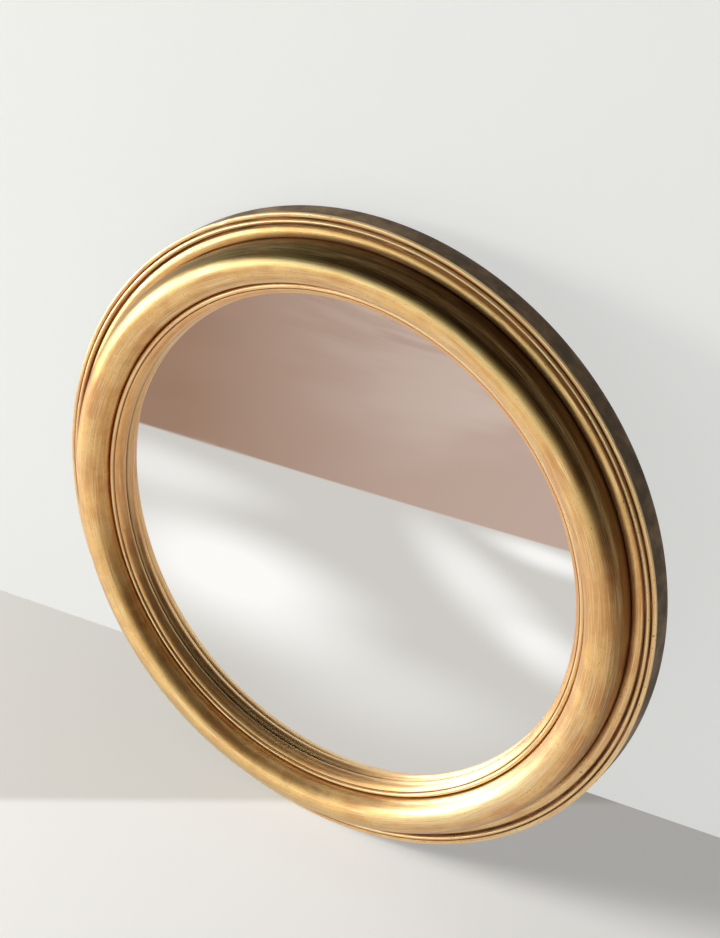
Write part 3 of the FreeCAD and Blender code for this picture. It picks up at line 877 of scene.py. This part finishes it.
def dress_fittings():
    """Brass fittings with eased edges, and finishes for the bumpers, the card and the felt."""
    button = brass("brass_button", paint(198, 158, 84), 0.08)
    screw = brass("brass_screw", paint(188, 150, 82), 0.12)
    for name in sorted(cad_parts):
        if name.startswith("turn_button"):
            eased_copy(name, 0.28 * MM, button, "brass_button", name)
        elif "screw" in name:
            eased_copy(name, 0.12 * MM, screw, "brass_screw", "mirror_frame")
    plate = brass("brass_plate", paint(190, 150, 80), 0.16)
    eased_copy("hanger_plate", 0.22 * MM, plate, "brass_plate", "mirror_frame")
    make_ring()
    pad = bumper_pad()
    dress("bumper_left", pad)
    dress("bumper_right", pad)
    dress("backing_card", card())
    dress("glass_packing", felt())


# --- stage ----------------------------------------------------------------------------------

# the mirror leans back, so the floor's upward normal is tipped in the mirror's own frame
FLOOR_UP = Vector((0, -0.1727, 0.9850)).normalized()
FLOOR_HEIGHT = -0.15744
WALL_NORMAL = Vector((0.1144, -0.9785, -0.1716)).normalized()
WALL_OFFSET = -0.0362
TABLE_CENTRE = (0.0765, -0.0475)
TABLE_RADIUS = 0.6805
TABLE_EDGE_BLUR = 0.006
TABLE_GLOW = 1.12
# soft painted patches of sun on the table: centre, turn in degrees, half length and half width, strength;
# lengths in metres, in the floor's own coordinates
SUN_PATCHES = (
    ((-0.205, -0.215), -10, (0.190, 0.150), 1.1), ((-0.030, -0.460), 52, (0.290, 0.080), 0.7),
    ((0.020, -0.650), 20, (0.140, 0.080), 0.9), ((-0.400, -0.310), -50, (0.210, 0.120), 0.6),
    ((0.080, -0.330), 49, (0.110, 0.060), 0.5), ((-0.030, -0.170), 0, (0.150, 0.090), 0.35),
)
# painted sunlight on the floor: FLOOR_LIGHT past a soft straight edge, FLOOR_SHADE before it
FLOOR_LIGHT = paint(248, 248, 247)
FLOOR_SHADE = paint(222, 221, 217)
FLOOR_EDGE = -0.0296
FLOOR_EDGE_SLOPE = -0.618
FLOOR_EDGE_BLUR = 0.004
FLOOR_GLOW = 0.34
WALL_COLOUR = paint(238, 239, 237)
WALL_SHADE = paint(204, 205, 203)
WALL_GLOW = 0.72
# the room's window: its middle, how far above the floor's plane it ends, and how it falls off
WINDOW_WAY = (-0.70, -0.71, -0.12)
WINDOW_TOP = 0.42
WINDOW_TOP_FALL = 0.30
WINDOW_SIDES = (0.0, 0.65)
ROOM_WINDOW = paint(244, 252, 238)
AIR = paint(232, 233, 231)
WINDOW_COLOUR = (1, 0.98, 0.95)
# two lamps on the left, as place, width, height and power: one lights plain colours, one the gloss
KEY = ((-1.55, -0.80, 0.38), 0.45, 0.45, 54.0)
WINDOW = ((-1.35, -0.70, 0.05), 0.9, 0.6, 13.0)
ROOM_DARK = paint(44, 35, 27)
ROOM_STRENGTH = 2.0


def stage_plane(name, normal, offset, right, size, centre=(0, 0)):
    """Square sheet on the plane where a point's share along normal is offset.

    Its own X runs along right and its own Z along the normal."""
    z = Vector(normal).normalized()
    x = (Vector(right) - z * z.dot(Vector(right))).normalized()
    y = z.cross(x)
    corner = np.array([(-1, -1), (1, -1), (1, 1), (-1, 1)], float) * size / 2 + np.array(centre)
    points = np.concatenate([corner, np.zeros((4, 1))], 1)
    sheet = add_mesh(name, points, [np.array([[0, 1, 2, 3]])])
    sheet.matrix_world = Matrix.Translation(z * offset) @ Matrix((x, y, z)).transposed().to_4x4()
    return sheet


def make_floor():
    """Pale floor with painted sunlight: a little brighter past a soft straight edge in front of the
    mirror.
    """
    floor = stage_plane("floor", FLOOR_UP, FLOOR_HEIGHT, (1, 0, 0), 8.0)
    r = Recipe("floor")
    across, away, _ = r.split(r.place())
    ahead = r.maths("ADD", away, r.maths("MULTIPLY", across, FLOOR_EDGE_SLOPE))
    # painted sunlight: brighter past the soft straight edge
    bright = r.step(ahead, FLOOR_EDGE + FLOOR_EDGE_BLUR, FLOOR_EDGE - FLOOR_EDGE_BLUR)
    colour = r.blend(bright, FLOOR_SHADE, FLOOR_LIGHT)
    r.surface(Base_Color=colour, Roughness=0.9, Specular_IOR_Level=0.2)
    r.finish(r.self_lit(colour, FLOOR_GLOW))
    floor.data.materials.append(r.material)


def make_wall():
    """Pale wall behind the mirror. It is clear from behind, so that the mirror's back can be seen."""
    wall = stage_plane("wall", WALL_NORMAL, WALL_OFFSET, (1, 0, 0), 8.0, (0, 3.82))
    r = Recipe("wall")
    r.surface(Base_Color=WALL_SHADE, Roughness=0.9, Specular_IOR_Level=0.2)
    white = r.self_lit(WALL_COLOUR, WALL_GLOW)
    clear = r.tree.nodes.new("ShaderNodeBsdfTransparent")
    side = r.tree.nodes.new("ShaderNodeNewGeometry")
    r.finish(r.mixed(side.outputs["Backfacing"], white, clear.outputs[0]))
    wall.data.materials.append(r.material)
    wall.visible_shadow = False
    wall.visible_diffuse = False


def make_table_reflection():
    """What the glass sees low down: a round white table top and the brown room past its edge.

    It is a glowing sheet that paints the reflection, with painted patches of sun on the white and
    painted light on one side of the brown. Only reflections see it. It lies just above the floor, in
    the floor's own coordinates."""
    sheet = stage_plane("table_seen_in_glass", FLOOR_UP, FLOOR_HEIGHT + 1 * MM, (1, 0, 0), 24.0)
    r = Recipe("table_seen_in_glass")
    place = r.place()
    across, away, _ = r.split(place)
    middle = r.stretch(place, (1, 1, 0), (0, 0, 0), (-TABLE_CENTRE[0], -TABLE_CENTRE[1], 0))
    past_edge = r.step(r.length(middle), TABLE_RADIUS - TABLE_EDGE_BLUR, TABLE_RADIUS + TABLE_EDGE_BLUR)
    sun = 0.0
    for centre, turn, half, strength in SUN_PATCHES:
        sun = r.maths("ADD", sun, r.maths("MULTIPLY", r.oval(place, centre, turn, half), strength), True)
    white = r.blend(sun, paint(208, 206, 202), paint(254, 254, 253))
    slant = r.maths("DIVIDE", across, r.maths("MINIMUM", away, -0.05))
    # painted light: the brown room past the table is paler on one side
    painted_light_side = r.step(slant, 1.15, -0.05)
    streaks = r.noise(r.stretch(place, (1.2, 0.45, 1), (0, 0, 0.5)), 1.0, 3.0, 0.5)
    brown = r.blend(painted_light_side, paint(150, 119, 98), paint(210, 191, 182))
    brown = r.blend(r.step(streaks, 0.38, 0.62, 0.0, 0.5), brown, paint(170, 140, 124))
    glow = r.tree.nodes.new("ShaderNodeEmission")
    r.feed(glow.inputs["Color"], r.blend(past_edge, white, brown))
    glow.inputs["Strength"].default_value = TABLE_GLOW
    r.finish(glow.outputs[0])
    sheet.data.materials.append(r.material)
    sheet.visible_camera = False
    sheet.visible_diffuse = False
    sheet.visible_shadow = False
    sheet.visible_transmission = False


def make_room_light():
    """World light: a low band of pale window light ahead and on the left, and a dark room above it.
    The camera sees plain pale air instead."""
    world = bpy.data.worlds.new("room")
    world.use_nodes = True
    bpy.context.scene.world = world
    tree = world.node_tree
    tree.nodes.clear()
    where = tree.nodes.new("ShaderNodeTexCoord").outputs["Generated"]

    def share(way, low, high):
        dot = tree.nodes.new("ShaderNodeVectorMath")
        dot.operation = "DOT_PRODUCT"
        tree.links.new(where, dot.inputs[0])
        dot.inputs[1].default_value = Vector(way).normalized()
        step = tree.nodes.new("ShaderNodeMapRange")
        step.interpolation_type = "SMOOTHSTEP"
        tree.links.new(dot.outputs["Value"], step.inputs[0])
        step.inputs[1].default_value = low
        step.inputs[2].default_value = high
        return step.outputs[0]

    below = share(FLOOR_UP, WINDOW_TOP, WINDOW_TOP - WINDOW_TOP_FALL)
    beside = share(WINDOW_WAY, *WINDOW_SIDES)
    both = tree.nodes.new("ShaderNodeMath")
    both.operation = "MULTIPLY"
    tree.links.new(below, both.inputs[0])
    tree.links.new(beside, both.inputs[1])
    mix = tree.nodes.new("ShaderNodeMix")
    mix.data_type = "RGBA"
    tree.links.new(both.outputs[0], mix.inputs[0])
    mix.inputs[6].default_value = ROOM_DARK
    mix.inputs[7].default_value = ROOM_WINDOW
    room = tree.nodes.new("ShaderNodeBackground")
    tree.links.new(mix.outputs[2], room.inputs["Color"])
    room.inputs["Strength"].default_value = ROOM_STRENGTH
    air = tree.nodes.new("ShaderNodeBackground")
    air.inputs["Color"].default_value = AIR
    rays = tree.nodes.new("ShaderNodeLightPath")
    pick = tree.nodes.new("ShaderNodeMixShader")
    tree.links.new(rays.outputs["Is Camera Ray"], pick.inputs[0])
    tree.links.new(room.outputs[0], pick.inputs[1])
    tree.links.new(air.outputs[0], pick.inputs[2])
    out = tree.nodes.new("ShaderNodeOutputWorld")
    tree.links.new(pick.outputs[0], out.inputs["Surface"])


def add_window(name, place, wide, high, power, glossy):
    """Soft light aimed at the mirror: seen only in its gloss, or else only on its plain colour."""
    lamp = bpy.data.lights.new(name, "AREA")
    lamp.shape = "RECTANGLE"
    lamp.size = wide
    lamp.size_y = high
    lamp.energy = power
    lamp.color = WINDOW_COLOUR
    thing = bpy.data.objects.new(name, lamp)
    thing.location = place
    thing.rotation_mode = "QUATERNION"
    thing.rotation_quaternion = (-Vector(place)).to_track_quat("-Z", "Y")
    thing.visible_glossy = glossy
    thing.visible_diffuse = not glossy
    bpy.context.scene.collection.objects.link(thing)


# --- camera ---------------------------------------------------------------------------------

CAMERA_PLACE = Vector((0.3153, -0.5708, 0.3898))
CAMERA_AIM = Vector((0.0021, -0.0003, 0.0377))
CAMERA_ROLL = math.radians(5.97)
CAMERA_LENS = 61.41


def make_camera():
    data = bpy.data.cameras.new("camera")
    data.lens = CAMERA_LENS
    data.sensor_width = 36.0
    data.clip_start = 0.05
    camera = bpy.data.objects.new("camera", data)
    camera.location = CAMERA_PLACE
    camera.rotation_mode = "QUATERNION"
    look = (CAMERA_AIM - CAMERA_PLACE).to_track_quat("-Z", "Y")
    camera.rotation_quaternion = look @ Quaternion((0, 0, 1), CAMERA_ROLL)
    bpy.context.scene.collection.objects.link(camera)
    bpy.context.scene.camera = camera


make_rim()
make_roll()
make_slip()
make_glass()
make_board()
dress_fittings()
make_floor()
make_wall()
make_table_reflection()
make_room_light()
add_window("key", *KEY, False)
add_window("window", *WINDOW, True)
make_camera()

bpy.context.scene.view_settings.view_transform = "Standard"
